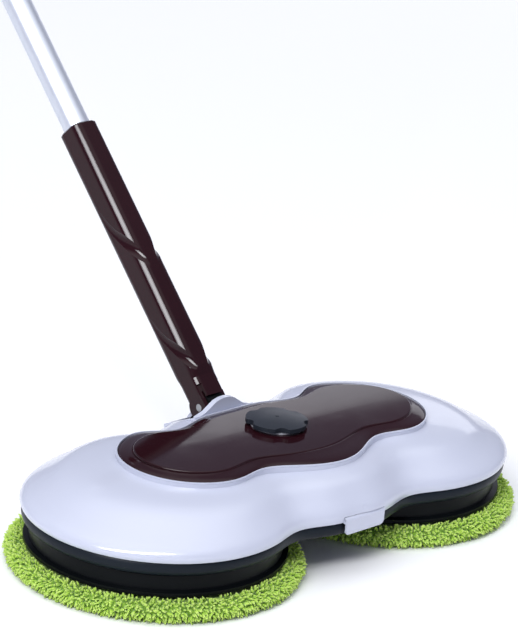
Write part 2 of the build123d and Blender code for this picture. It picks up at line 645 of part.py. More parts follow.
with BuildPart() as pivot_bracket:
    with BuildSketch(Plane(origin=(-BRACKET_X, 0, 0), x_dir=(0, 1, 0), z_dir=(1, 0, 0))):
        with BuildLine():
            foot = [(BRACKET_Y[0], BRACKET_Z), (BRACKET_Y[1], BRACKET_Z)]
            Polyline(*foot, (BRACKET_Y[1], 62), (BRACKET_Y[0], 78), close=True)
        make_face()
    extrude(amount=2 * BRACKET_X)
    low = (-BRACKET_X + 2.5, CHEEK_Y[1], BRACKET_Z + 3)
    box_between(low, (BRACKET_X - 2.5, BACK_WALL, 95), Mode.SUBTRACT)
    # front cheek, an arch over the pin; back cheek, a round boss
    with BuildSketch(Plane(origin=(0, CHEEK_Y[1], 0), x_dir=(1, 0, 0), z_dir=(0, -1, 0))):
        with BuildLine():
            Polyline((-29, 60), (-29, 77), (-20, 80), (-10, 86.5))
            ThreePointArc((-10, 86.5), (0, 88.5), (10, 86.5))
            Polyline((10, 86.5), (20, 80), (29, 77), (29, 60), (-29, 60))
        make_face()
    extrude(amount=CHEEK_Y[1] - CHEEK_Y[0])
    rod((0, BACK_WALL, SWING_Z), (0, 1, 0), 8, BRACKET_Y[1] - BACK_WALL)
    rod((0, 57.6, SWING_Z), (0, 1, 0), PIN_R, 40, mode=Mode.SUBTRACT)
    for x, y in BRACKET_POSTS:
        rod((x, y, 40), (0, 0, 1), SCREW_R, 20, mode=Mode.SUBTRACT)
pivot_bracket.part.label = "pivot_bracket"
export_step(pivot_bracket.part, "parts/pivot_bracket.step")

with BuildPart() as swing_pin:
    rod((0, 57.6, SWING_Z), (0, 1, 0), PIN_R, BRACKET_Y[1] - 58)
swing_pin.part.label = "swing_pin"
export_step(swing_pin.part, "parts/swing_pin.step")

with BuildPart() as knuckle:
    rod((0, 60.9, SWING_Z), (0, 1, 0), 8.2, 24.7)
    box_between((-8, 63.5, SWING_Z), (8, 80.5, TILT_Z))
    rod((-8, TILT_Y, TILT_Z), (1, 0, 0), 9.5, 16)
    rod((0, 55, SWING_Z), (0, 1, 0), PIN_R + RUNNING, 40, mode=Mode.SUBTRACT)
    rod((-20, TILT_Y, TILT_Z), (1, 0, 0), PIN_R + RUNNING, 40, mode=Mode.SUBTRACT)
knuckle.part.label = "knuckle"
export_step(knuckle.part, "parts/knuckle.step")

with BuildPart() as tilt_pin:
    rod((-12.2, TILT_Y, TILT_Z), (1, 0, 0), PIN_R, 24.4)
tilt_pin.part.label = "tilt_pin"
export_step(tilt_pin.part, "parts/tilt_pin.step")

# ---- Neck -------------------------------------------------------------------------------------------

NECK_SCREWS = (30, 60, 88)
SHOULDER_S = (22, 30)
EAR_WIDTH_ACROSS = NECK_WIDTH - 0.4
EAR_FRONT = -7.5
EAR_TOP = 16
FRONT_OPEN = 5
ROOM_FRONT = -8.6
HOLLOW_HALF = 9
HOLLOW_S = (17, 96)

# Scoops down the neck's sides: each runs from the middle of a side round the front corner
SCOOP_R = 8
SCOOP_STARTS = (187, 91)
SCOOP_LENGTH = 68


def neck_section(along, width, depth, corner):
    """Rounded rectangle across the pole."""
    with BuildSketch(POLE.offset(along)) as section:
        RectangleRounded(width, depth, corner)
    return section.sketch


def scoop(side, start):
    """Cutter for one scoop; side is -1 or 1 and start is its upper end along the pole."""
    face = NECK_WIDTH / 2 + SCOOP_R
    corner = NECK_CORNER * (1 - cos(pi / 4)) - (SCOOP_R - 1.8) * cos(pi / 4)
    # across, depth and share of the length at each station of the route
    stations = [
        (face + 0.3, 9, 0),
        (face - 0.4, 6, 0.25),
        (face - 0.9, -1.5, 0.52),
        (NECK_WIDTH / 2 - corner, corner - NECK_DEPTH / 2, 0.8),
        (5, -NECK_DEPTH / 2 - SCOOP_R, 1),
    ]
    with BuildPart() as cutter:
        with BuildLine():
            route = Spline(*[on_pole(side * x, y, start - SCOOP_LENGTH * t) for x, y, t in stations])
        with BuildSketch(Plane(origin=route @ 0, z_dir=route % 0)):
            Circle(SCOOP_R)
        sweep()
    return cutter.part


with BuildPart() as neck_form:
    extrude(neck_section(SHOULDER_S[1], NECK_WIDTH, NECK_DEPTH, NECK_CORNER), amount=NECK_TOP - SHOULDER_S[1])
    chamfer(neck_form.edges().filter_by(lambda e: POLE.to_local_coords(e.center()).Z > NECK_TOP - 1), 1.2)
    foot = neck_section(SHOULDER_S[0], EAR_WIDTH_ACROSS, 2 * EAR_R, 5)
    loft([foot, neck_section(SHOULDER_S[1], NECK_WIDTH, NECK_DEPTH, NECK_CORNER)])
    extrude(neck_section(0, EAR_WIDTH_ACROSS, 2 * EAR_R, 5), amount=SHOULDER_S[0])
    rod((-EAR_WIDTH_ACROSS / 2, TILT_Y, TILT_Z), (1, 0, 0), EAR_R, EAR_WIDTH_ACROSS)
    # the ears stand back from the front face
    for side in (-1, 1):
        with Locations(POLE.offset(EAR_TOP - 20)):
            with Locations((side * (FORK_HALF + 5), EAR_FRONT - 10, 0)):
                Box(10, 20, 40, mode=Mode.SUBTRACT)
    # room for the knuckle, open to the back; the front wall ends a little above the tilt pin
    with Locations(POLE.offset(FORK_TOP - 20)):
        with Locations((0, ROOM_FRONT + 20, 0)):
            Box(2 * FORK_HALF, 40, 40, mode=Mode.SUBTRACT)
    with Locations(POLE.offset(FRONT_OPEN - 20)):
        Box(2 * FORK_HALF, 40, 40, mode=Mode.SUBTRACT)
    # hollow above it, and the socket for the tube
    with Locations(POLE.offset((HOLLOW_S[0] + HOLLOW_S[1]) / 2)):
        Box(2 * HOLLOW_HALF, 2 * HOLLOW_HALF, HOLLOW_S[1] - HOLLOW_S[0], mode=Mode.SUBTRACT)
    rod(on_pole(0, 0, TUBE_FOOT), POLE_AXIS, TUBE_R + RUNNING, 200, mode=Mode.SUBTRACT)
    rod((-20, TILT_Y, TILT_Z), (1, 0, 0), PIN_R, 40, mode=Mode.SUBTRACT)
    for along in NECK_SCREWS:
        rod(on_pole(0, -HOLLOW_HALF, along), POLE.y_dir, 4, 2 * HOLLOW_HALF)
        rod(on_pole(0, -HOLLOW_HALF, along), POLE.y_dir, SCREW_R, 30, mode=Mode.SUBTRACT)
        rod(on_pole(0, HOLLOW_HALF + 0.6, along), POLE.y_dir, SCREW_HEAD_R, 30, mode=Mode.SUBTRACT)
    for side in (-1, 1):
        for start in SCOOP_STARTS:
            add(scoop(side, start), mode=Mode.SUBTRACT)

with BuildPart() as neck_front:
    add(neck_form.part)
    split(bisect_by=Plane(origin=TILT_POINT, z_dir=POLE.y_dir), keep=Keep.BOTTOM)
neck_front.part.label = "neck_front"
export_step(neck_front.part, "parts/neck_front.step")

with BuildPart() as neck_rear:
    add(neck_form.part)
    split(bisect_by=Plane(origin=TILT_POINT, z_dir=POLE.y_dir), keep=Keep.TOP)
neck_rear.part.label = "neck_rear"
export_step(neck_rear.part, "parts/neck_rear.step")

with BuildPart() as neck_screws:
    for along in NECK_SCREWS:
        rod(on_pole(0, 0.5 - HOLLOW_HALF, along), POLE.y_dir, SCREW_R, 18.1)
        rod(on_pole(0, HOLLOW_HALF + 0.6, along), POLE.y_dir, SCREW_HEAD_R - 0.2, 1.8)
neck_screws.part.label = "neck_screws"
export_step(neck_screws.part, "parts/neck_screws.step")

# ---- Pole -------------------------------------------------------------------------------------------

with BuildPart() as lower_tube:
    rod(on_pole(0, 0, TUBE_FOOT + 0.2), POLE_AXIS, TUBE_R, TUBE_TOP - TUBE_FOOT - 0.2)
    rod(on_pole(0, 0, TUBE_FOOT), POLE_AXIS, TUBE_R - TUBE_WALL, TUBE_TOP, mode=Mode.SUBTRACT)
lower_tube.part.label = "lower_tube"
export_step(lower_tube.part, "parts/lower_tube.step")

with BuildPart() as lock_collar:
    rod(on_pole(0, 0, COLLAR_S[0]), POLE_AXIS, 16, COLLAR_S[1] - COLLAR_S[0])
    ends = lock_collar.edges().filter_by(GeomType.CIRCLE)
    fillet(ends, 3)
    with Locations(POLE.offset((COLLAR_S[0] + COLLAR_S[1]) / 2)):
        with PolarLocations(17.2, 16):
            Cylinder(2, 34, mode=Mode.SUBTRACT)
    rod(on_pole(0, 0, 500), POLE_AXIS, TUBE_R + RUNNING, TUBE_TOP + 0.5 - 500, mode=Mode.SUBTRACT)
    rod(on_pole(0, 0, 500), POLE_AXIS, INNER_R + RUNNING, 200, mode=Mode.SUBTRACT)
lock_collar.part.label = "lock_collar"
export_step(lock_collar.part, "parts/lock_collar.step")

with BuildPart() as upper_tube:
    rod(on_pole(0, 0, INNER_FOOT), POLE_AXIS, INNER_R, INNER_TOP - INNER_FOOT)
    rod(on_pole(0, 0, INNER_FOOT - 1), POLE_AXIS, INNER_R - INNER_WALL, 700, mode=Mode.SUBTRACT)
upper_tube.part.label = "upper_tube"
export_step(upper_tube.part, "parts/upper_tube.step")

with BuildPart() as slide_bush:
    rod(on_pole(0, 0, INNER_FOOT), POLE_AXIS, TUBE_R - TUBE_WALL - RUNNING, 24)
    rod(on_pole(0, 0, INNER_FOOT - 1), POLE_AXIS, INNER_R, 30, mode=Mode.SUBTRACT)
slide_bush.part.label = "slide_bush"
export_step(slide_bush.part, "parts/slide_bush.step")

GRIP_R = 15.5
with BuildPart() as grip:
    with BuildSketch(Plane(origin=TILT_POINT, x_dir=(1, 0, 0), z_dir=POLE.y_dir * -1)):
        with BuildLine():
            Line((INNER_R, GRIP_S[0]), (13, GRIP_S[0]))
            Spline((13, GRIP_S[0]), (14.5, 900), (13.8, 950), (14.6, 1000), (GRIP_R, GRIP_S[1]))
            Polyline((GRIP_R, GRIP_S[1]), (0, GRIP_S[1]), (0, INNER_TOP), (INNER_R, INNER_TOP))
            Line((INNER_R, INNER_TOP), (INNER_R, GRIP_S[0]))
        make_face()
    revolve(axis=Axis(TILT_POINT, POLE_AXIS))
grip.part.label = "grip"
export_step(grip.part, "parts/grip.step")

with BuildPart() as hang_cap:
    rod(on_pole(0, 0, GRIP_S[1]), POLE_AXIS, GRIP_R, 4)
    with BuildSketch(Plane(origin=on_pole(-4, 0, 0), x_dir=POLE.y_dir, z_dir=(1, 0, 0))):
        with Locations((0, HANG_S + 4)):
            Circle(12)
        with Locations((0, HANG_S)):
            Rectangle(24, 14)
    extrude(amount=8)
    rod(on_pole(-20, 0, HANG_S + 6), (1, 0, 0), HANG_R, 40, mode=Mode.SUBTRACT)
hang_cap.part.label = "hang_cap"
export_step(hang_cap.part, "parts/hang_cap.step")

# ---- Fasteners --------------------------------------------------------------------------------------

with BuildPart() as shell_screws:
    for x, y in SCREW_PLACES:
        rod((x, y, 34), (0, 0, 1), SCREW_HEAD_R - 0.2, 2)
        rod((x, y, 35), (0, 0, 1), SCREW_R, 19)
shell_screws.part.label = "shell_screws"
export_step(shell_screws.part, "parts/shell_screws.step")

with BuildPart() as bracket_screws:
    for x, y in BRACKET_POSTS:
        rod((x, y, BRACKET_Z + 3), (0, 0, 1), SCREW_HEAD_R - 0.6, 1.8)
        rod((x, y, TRAY_FLOOR + 2), (0, 0, 1), SCREW_R, BRACKET_Z + 3 - TRAY_FLOOR - 2)
bracket_screws.part.label = "bracket_screws"
export_step(bracket_screws.part, "parts/bracket_screws.step")
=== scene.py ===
"""Looks of the twin-disc floor sweeper: materials, chenille pads, studio and camera.

Everything is in metres, in the frame of the CAD model: +X right, +Y back, +Z up, floor at z = 0.
"""
import json
from math import cos, pi, radians, sin

import bmesh
import bpy
import numpy as np
from mathutils import Matrix, Vector


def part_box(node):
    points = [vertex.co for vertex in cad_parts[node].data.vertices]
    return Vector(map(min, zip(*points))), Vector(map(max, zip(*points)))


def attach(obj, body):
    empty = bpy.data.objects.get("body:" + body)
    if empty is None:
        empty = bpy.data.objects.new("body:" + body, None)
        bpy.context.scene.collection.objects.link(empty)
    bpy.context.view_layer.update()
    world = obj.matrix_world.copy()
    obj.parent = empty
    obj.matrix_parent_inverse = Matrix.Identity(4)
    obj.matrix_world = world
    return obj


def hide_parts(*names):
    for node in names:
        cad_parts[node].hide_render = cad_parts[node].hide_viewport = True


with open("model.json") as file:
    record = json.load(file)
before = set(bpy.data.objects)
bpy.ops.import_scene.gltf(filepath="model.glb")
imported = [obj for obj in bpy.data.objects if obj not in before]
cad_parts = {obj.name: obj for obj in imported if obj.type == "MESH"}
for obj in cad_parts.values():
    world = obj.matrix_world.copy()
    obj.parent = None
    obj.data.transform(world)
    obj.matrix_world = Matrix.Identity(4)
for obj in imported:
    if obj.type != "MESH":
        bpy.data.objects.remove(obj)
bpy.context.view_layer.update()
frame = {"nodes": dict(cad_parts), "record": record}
nodes = frame["nodes"]

MM = 0.001

# ---- Camera ---------------------------------------------------------------------------------------

CAMERA_PLACE = Vector((-1.5664, -1.4510, 0.9015))
CAMERA_YAW = radians(46.634)  # from +Y towards +X
CAMERA_PITCH = radians(18.904)  # down
CAMERA_ROLL = radians(5.226)
CAMERA_LENS = 170.9
CAMERA_SENSOR = 36
CAMERA_REACH = 50


def make_camera():
    """Camera at its place, turned by yaw, pitch and roll."""
    ahead = Vector((sin(CAMERA_YAW), cos(CAMERA_YAW), 0))
    forward = ahead * cos(CAMERA_PITCH) - Vector((0, 0, sin(CAMERA_PITCH)))
    level = Vector((cos(CAMERA_YAW), -sin(CAMERA_YAW), 0))
    above = level.cross(forward)
    right = level * cos(CAMERA_ROLL) + above * sin(CAMERA_ROLL)
    up = above * cos(CAMERA_ROLL) - level * sin(CAMERA_ROLL)
    data = bpy.data.cameras.new("camera")
    data.sensor_width = CAMERA_SENSOR
    data.lens = CAMERA_LENS
    data.clip_end = CAMERA_REACH
    camera = bpy.data.objects.new("camera", data)
    turn = Matrix((right, up, -forward)).transposed().to_4x4()
    camera.matrix_world = Matrix.Translation(CAMERA_PLACE) @ turn
    bpy.context.collection.objects.link(camera)
    bpy.context.scene.camera = camera


# ---- Material helpers -------------------------------------------------------------------------------


def new_material(name):
    """A new node material, its node tree and its Principled shader."""
    material = bpy.data.materials.new(name)
    material.use_nodes = True
    tree = material.node_tree
    shader = next(n for n in tree.nodes if n.type == "BSDF_PRINCIPLED")
    return material, tree, shader


def noise(tree, scale, detail=3.0, stretch=None, roughness=0.5):
    """Noise on object coordinates, and its mapping; stretch scales the three axes."""
    coords = tree.nodes.new("ShaderNodeTexCoord")
    mapping = tree.nodes.new("ShaderNodeMapping")
    if stretch:
        mapping.inputs["Scale"].default_value = stretch
    texture = tree.nodes.new("ShaderNodeTexNoise")
    texture.inputs["Scale"].default_value = scale
    texture.inputs["Detail"].default_value = detail
    texture.inputs["Roughness"].default_value = roughness
    tree.links.new(coords.outputs["Object"], mapping.inputs["Vector"])
    tree.links.new(mapping.outputs["Vector"], texture.inputs["Vector"])
    return texture, mapping


def ramp(tree, source, stops):
    """Colour ramp from a value; stops are (place, (r, g, b))."""
    node = tree.nodes.new("ShaderNodeValToRGB")
    while len(node.color_ramp.elements) < len(stops):
        node.color_ramp.elements.new(0.5)
    for element, (place, colour) in zip(node.color_ramp.elements, stops):
        element.position = place
        element.color = (*colour, 1)
    tree.links.new(source, node.inputs["Fac"])
    return node


def spread(tree, source, low, high, start=0.3, end=0.7):
    """Maps a noise value to a range."""
    node = tree.nodes.new("ShaderNodeMapRange")
    node.inputs["From Min"].default_value = start
    node.inputs["From Max"].default_value = end
    node.inputs["To Min"].default_value = low
    node.inputs["To Max"].default_value = high
    tree.links.new(source, node.inputs["Value"])
    return node.outputs["Result"]


def bump(tree, shader, source, strength, distance):
    """Raises the surface by a value; distance is the height in metres at full strength."""
    node = tree.nodes.new("ShaderNodeBump")
    node.inputs["Strength"].default_value = strength
    node.inputs["Distance"].default_value = distance
    tree.links.new(source, node.inputs["Height"])
    tree.links.new(node.outputs["Normal"], shader.inputs["Normal"])


def tinted(colour, share):
    """A colour made lighter or darker by a factor."""
    return tuple(min(1, c * share) for c in colour)


COAT_ROUGHNESS = 0.06

# Noise scales of the plastic's patterns
DRIFT_SCALE = 9
HAZE_SCALE = 45
GRAIN_SCALE = 900


def moulded_plastic(name, colour, low, high, coat=0.0, strength=0.05, vary=0.05, shine=0.5):
    """Injection-moulded plastic: faint colour drift, roughness from low to high, fine grain."""
    material, tree, shader = new_material(name)
    drift, _ = noise(tree, DRIFT_SCALE, 2)
    tones = ((0.3, tinted(colour, 1 - vary)), (0.7, tinted(colour, 1 + vary)))
    colours = ramp(tree, drift.outputs["Fac"], tones)
    tree.links.new(colours.outputs["Color"], shader.inputs["Base Color"])
    haze, _ = noise(tree, HAZE_SCALE, 4)
    tree.links.new(spread(tree, haze.outputs["Fac"], low, high), shader.inputs["Roughness"])
    fine, _ = noise(tree, GRAIN_SCALE, 2)
    bump(tree, shader, fine.outputs["Fac"], strength, 0.2 * MM)
    shader.inputs["Coat Weight"].default_value = coat
    shader.inputs["Coat Roughness"].default_value = COAT_ROUGHNESS
    shader.inputs["Specular IOR Level"].default_value = shine
    return material


def machined_metal(name, colour, low, high):
    """Metal with fine drawn or turned lines."""
    material, tree, shader = new_material(name)
    lines, _ = noise(tree, 60, 5, (1, 1, 14), 0.7)
    colours = ramp(tree, lines.outputs["Fac"], ((0.3, tinted(colour, 0.9)), (0.7, tinted(colour, 1.06))))
    tree.links.new(colours.outputs["Color"], shader.inputs["Base Color"])
    tree.links.new(spread(tree, lines.outputs["Fac"], low, high), shader.inputs["Roughness"])
    shader.inputs["Metallic"].default_value = 1
    bump(tree, shader, lines.outputs["Fac"], 0.06, 0.1 * MM)
    return material


# ---- Materials of the object --------------------------------------------------------------------------

SHELL_WHITE = (0.56, 0.585, 0.69)
MAROON = (0.020, 0.0042, 0.0068)
SLATE = (0.017, 0.021, 0.029)
SKIRT = (0.008, 0.012, 0.018)
BLACK = (0.003, 0.004, 0.005)
# Pile colours, root to tip: the darkest is painted shade at the tuft roots, the palest painted light on the
# tuft tips
LEAF_ROOT_SHADE = (0.14, 0.29, 0.016)
LEAF = (0.42, 0.66, 0.065)
LEAF_TIP_LIT = (0.68, 0.85, 0.22)
TUBE_DARK = (0.60, 0.63, 0.70)
TUBE_LIGHT = (0.66, 0.69, 0.75)
# Hook tape colours: the lighter is painted light on the hook tips, the darker painted shade between the hooks
HOOK_TIP_LIT = (0.05, 0.05, 0.05)
HOOK_ROOT_SHADE = (0.008, 0.008, 0.008)
SEAT_GREY = (0.5, 0.51, 0.54)
CASE_GREY = (0.28, 0.29, 0.3)
ACETAL = (0.75, 0.74, 0.68)
STEEL = (0.33, 0.335, 0.345)
BRONZE = (0.5, 0.32, 0.14)
ZINC = (0.42, 0.43, 0.44)
WRAP_BLUE = (0.02, 0.1, 0.38)
BOARD_GREEN = (0.015, 0.16, 0.06)
SOCKET_BLACK = (0.015, 0.015, 0.015)
ROCKER_BLACK = (0.012, 0.012, 0.014)
BUSH_CREAM = (0.6, 0.6, 0.57)

POLE_ELEVATION = 46  # degrees from the floor, in the YZ plane


def drawn_tube():
    """Anodised tube: fine lines along the pole, which leans in the YZ plane."""
    material, tree, shader = new_material("drawn_tube")
    lines, mapping = noise(tree, 70, 4, (30, 30, 0.5), 0.6)
    mapping.inputs["Rotation"].default_value = (radians(POLE_ELEVATION - 90), 0, 0)
    colours = ramp(tree, lines.outputs["Fac"], ((0.3, TUBE_DARK), (0.7, TUBE_LIGHT)))
    tree.links.new(colours.outputs["Color"], shader.inputs["Base Color"])
    tree.links.new(spread(tree, lines.outputs["Fac"], 0.34, 0.42), shader.inputs["Roughness"])
    shader.inputs["Metallic"].default_value = 0.7
    bump(tree, shader, lines.outputs["Fac"], 0.03, 0.05 * MM)
    return material


def chenille():
    """Microfibre pile: dark at the root as painted shade, pale at the tip as painted light, fuzzy all over.
    """
    material, tree, shader = new_material("chenille")
    # The tip value paints shade at the roots and light on the tips; the patch noise adds tone that differs at
    # random.
    tip = tree.nodes.new("ShaderNodeAttribute")
    tip.attribute_name = "tip"
    patch, _ = noise(tree, 260, 3)
    blend = tree.nodes.new("ShaderNodeMath")
    blend.operation = "MULTIPLY_ADD"
    tip_socket, tip_share, patch_socket = blend.inputs
    tip_share.default_value = 0.75
    tree.links.new(tip.outputs["Fac"], tip_socket)
    tree.links.new(spread(tree, patch.outputs["Fac"], -0.12, 0.3), patch_socket)
    colours = ramp(tree, blend.outputs["Value"], ((0.0, LEAF_ROOT_SHADE), (0.45, LEAF), (1.0, LEAF_TIP_LIT)))
    tree.links.new(colours.outputs["Color"], shader.inputs["Base Color"])
    shader.inputs["Roughness"].default_value = 0.85
    shader.inputs["Sheen Weight"].default_value = 0.35
    shader.inputs["Sheen Roughness"].default_value = 0.5
    shader.inputs["Specular IOR Level"].default_value = 0.2
    fuzz, _ = noise(tree, 1800, 3)
    bump(tree, shader, fuzz.outputs["Fac"], 0.7, 0.6 * MM)
    return material


def hook_tape():
    """Hook-and-loop sheet: a field of tiny hooks, with painted light on their tips and painted shade between
    them.
    """
    material, tree, shader = new_material("hook_tape")
    coords = tree.nodes.new("ShaderNodeTexCoord")
    cells = tree.nodes.new("ShaderNodeTexVoronoi")
    cells.inputs["Scale"].default_value = 700
    tree.links.new(coords.outputs["Object"], cells.inputs["Vector"])
    colours = ramp(tree, cells.outputs["Distance"], ((0.0, HOOK_TIP_LIT), (0.8, HOOK_ROOT_SHADE)))
    tree.links.new(colours.outputs["Color"], shader.inputs["Base Color"])
    shader.inputs["Roughness"].default_value = 0.9
    bump(tree, shader, cells.outputs["Distance"], 0.8, 0.6 * MM)
    return material


PLASTICS = {
    "shell_white": dict(colour=SHELL_WHITE, low=0.16, high=0.24, coat=0.4, strength=0.02, vary=0.015),
    "maroon_gloss": dict(colour=MAROON, low=0.07, high=0.12, coat=0.04, strength=0.01, vary=0.12, shine=0.18),
    "knob_slate": dict(colour=SLATE, low=0.3, high=0.42, strength=0.2, vary=0.12, shine=0.22),
    "seat_grey": dict(colour=SEAT_GREY, low=0.3, high=0.4),
    "skirt_slate": dict(colour=SKIRT, low=0.34, high=0.46, strength=0.12, vary=0.12, shine=0.13),
    "black_plastic": dict(colour=BLACK, low=0.3, high=0.42, strength=0.12, vary=0.15, shine=0.09),
    "case_grey": dict(colour=CASE_GREY, low=0.4, high=0.5, strength=0.2),
    "gear_acetal": dict(colour=ACETAL, low=0.35, high=0.45, strength=0.1),
    "cell_wrap": dict(colour=WRAP_BLUE, low=0.2, high=0.3, coat=0.4),
    "board_green": dict(colour=BOARD_GREEN, low=0.35, high=0.45, vary=0.2),
    "socket_black": dict(colour=SOCKET_BLACK, low=0.25, high=0.35),
    "rocker_black": dict(colour=ROCKER_BLACK, low=0.15, high=0.25, coat=0.3),
    "bush_plastic": dict(colour=BUSH_CREAM, low=0.4, high=0.5),
}
METALS = {
    "steel": dict(colour=STEEL, low=0.28, high=0.42),
    "bronze": dict(colour=BRONZE, low=0.35, high=0.5),
    "gearhead_zinc": dict(colour=ZINC, low=0.4, high=0.55),
}

# One material for each of the record's slots
MATERIALS = {slot: moulded_plastic(slot, **finish) for slot, finish in PLASTICS.items()}
MATERIALS.update({slot: machined_metal(slot, **finish) for slot, finish in METALS.items()})
MATERIALS.update(hook_tape=hook_tape(), chenille=chenille(), tube_aluminium=drawn_tube())

for part in frame["record"]["subparts"]:
    surface = nodes[part["node"]].data
    surface.materials.clear()
    surface.materials.append(MATERIALS[part["material_slot"]])

# ---- Chenille pads --------------------------------------------------------------------------------------

TUFT_SIDES = 5
TUFT_RINGS = 4
TUFT_GIRTH = (0.8, 1.08, 1.0, 0.62)  # of each ring, as a share of the tuft's
TUFT_TIP = 0.6  # from the last ring to the tip, in ring spacings
TUFT_SWAY = 0.5
TUFT_DROOP = 0.35
TUFT_FUZZ = (0.82, 1.2)
FLOOR_GAP = 0.25 * MM

CORE_INSET = 3.0 * MM
CORE_SOLE = 1.2 * MM
CORE_SEGMENTS = 120

RIM_ROUND = 10 * MM
RIM_STEPS = 44
RIM_WAIST = 0.54  # height of the pad's widest place, as a share of its height
RIM_ABOVE = 0.5
ROW_STEP = 4  # points of the profile from one row of tufts to the next
RIM_SPACING = 2.5 * MM
RIM_LENGTH = (3.8, 5.8)
RIM_GIRTH = (0.7, 1.1)
RIM_SCATTER = 0.38
ROOT_DEPTH = 1.2 * CORE_INSET
ROOT_SHIFT = 0.8
INNER_INSETS = (2.4 * MM, 0.8 * MM)
INNER_NORMAL = (0.3, 0.95)

SOLE_MARGIN = 11 * MM
SOLE_SPACING = 4.6 * MM
SOLE_ROOT = 2.4 * MM
SOLE_LENGTH = (4, 6)
SOLE_GIRTH = (1.1, 1.5)
SOLE_DOWN = 0.7


def pad_profile(low, high):
    """Right-hand section of a pad, from its top round the rim to its sole: radius, height and normal."""
    outer = (high[0] - low[0]) / 2
    top = high[2]
    rows = []
    for step in range(RIM_STEPS + 1):
        angle = radians(90 - 180 * step / RIM_STEPS)
        radius = outer - RIM_ROUND + RIM_ROUND * cos(angle)
        half = top * (RIM_ABOVE if angle > 0 else RIM_WAIST)
        rows.append((radius, top * RIM_WAIST + half * sin(angle), cos(angle), sin(angle)))
    return rows


def add_tufts(store, base, direction, length, girth, rng):
    """Appends a field of bent, rounded tufts; every argument holds one row per tuft."""
    count = len(base)
    side = np.cross(direction, rng.normal(size=(count, 3)))
    side /= np.linalg.norm(side, axis=1, keepdims=True)
    other = np.cross(direction, side)
    droop = side * rng.uniform(-TUFT_SWAY, TUFT_SWAY, (count, 1)) - np.array((0, 0, TUFT_DROOP))
    first = sum(len(v) for v in store["verts"])
    rings = []
    tips = []
    for ring in range(TUFT_RINGS):
        t = ring / (TUFT_RINGS - 1 + TUFT_TIP)
        middle = base + direction * (length * t)[:, None] + droop * (length * t * t * 0.5)[:, None]
        for k in range(TUFT_SIDES):
            around = 2 * pi * k / TUFT_SIDES
            fuzz = rng.uniform(*TUFT_FUZZ, count) * girth * TUFT_GIRTH[ring]
            rings.append(middle + (side * cos(around) + other * sin(around)) * fuzz[:, None])
            tips.append(np.full(count, t))
    end = base + direction * length[:, None] + droop * (length * 0.5)[:, None]
    rings.append(end)
    tips.append(np.ones(count))
    verts = np.stack(rings, axis=1)
    verts[:, :, 2] = np.maximum(verts[:, :, 2], FLOOR_GAP)
    store["verts"].append(verts.reshape(-1, 3))
    store["tips"].append(np.stack(tips, axis=1).reshape(-1))
    per_tuft = TUFT_SIDES * TUFT_RINGS + 1
    pattern = []
    for ring in range(TUFT_RINGS - 1):
        for k in range(TUFT_SIDES):
            a = ring * TUFT_SIDES + k
            b = ring * TUFT_SIDES + (k + 1) % TUFT_SIDES
            pattern.append((a, b, b + TUFT_SIDES, a + TUFT_SIDES))
    last = (TUFT_RINGS - 1) * TUFT_SIDES
    caps = [(last + k, last + (k + 1) % TUFT_SIDES, per_tuft - 1) for k in range(TUFT_SIDES)]
    foot = [tuple(reversed(range(TUFT_SIDES)))]
    for i in range(count):
        start = first + i * per_tuft
        store["faces"] += [tuple(start + v for v in face) for face in pattern + caps + foot]


def add_core(store, profile, centre):
    """Felt body under the pile, closed by a disc above and below."""
    first = sum(len(v) for v in store["verts"])
    loop = [
        (radius - CORE_INSET * out, max(height - CORE_INSET * rise, CORE_SOLE))
        for radius, height, out, rise in profile[::ROW_STEP]
    ]
    verts = []
    for radius, height in loop:
        for k in range(CORE_SEGMENTS):
            angle = 2 * pi * k / CORE_SEGMENTS
            verts.append((centre + radius * cos(angle), radius * sin(angle), height))
    for row in range(len(loop) - 1):
        for k in range(CORE_SEGMENTS):
            a = first + row * CORE_SEGMENTS + k
            b = first + row * CORE_SEGMENTS + (k + 1) % CORE_SEGMENTS
            store["faces"].append((a + CORE_SEGMENTS, b + CORE_SEGMENTS, b, a))
    store["faces"].append(tuple(first + k for k in range(CORE_SEGMENTS)))
    bottom = first + (len(loop) - 1) * CORE_SEGMENTS
    store["faces"].append(tuple(bottom + k for k in reversed(range(CORE_SEGMENTS))))
    store["verts"].append(np.array(verts))
    # The core takes the pile's root colour, which is painted shade.
    store["tips"].append(np.zeros(len(verts)))


def ring_angles(count, jitter, rng):
    """Directions of tufts round a pad, each moved by up to jitter of the spacing."""
    return (np.arange(count) + rng.uniform(-jitter, jitter, count)) * 2 * pi / count


def unit(vectors):
    return vectors / np.linalg.norm(vectors, axis=1, keepdims=True)


def add_rim(store, profile, centre, rng):
    """Rows of tufts from the pad's top beside the disc, round the rim, to its sole."""
    top_radius, top_height, _, _ = profile[0]
    inner_rows = [(top_radius - inset, top_height, *INNER_NORMAL) for inset in INNER_INSETS]
    for radius, height, out, rise in inner_rows + profile[2::ROW_STEP]:
        count = int(2 * pi * radius / RIM_SPACING)
        angle = ring_angles(count, 0.4, rng)
        root = radius - ROOT_DEPTH * out
        lift = height - ROOT_DEPTH * rise + rng.uniform(-ROOT_SHIFT, ROOT_SHIFT, count) * MM
        base = np.stack((centre + root * np.cos(angle), root * np.sin(angle), lift), axis=1)
        normal = np.stack((out * np.cos(angle), out * np.sin(angle), np.full(count, rise)), axis=1)
        direction = unit(normal + rng.normal(scale=RIM_SCATTER, size=(count, 3)))
        length = rng.uniform(*RIM_LENGTH, count) * MM
        girth = rng.uniform(*RIM_GIRTH, count) * MM
        add_tufts(store, base, direction, length, girth, rng)


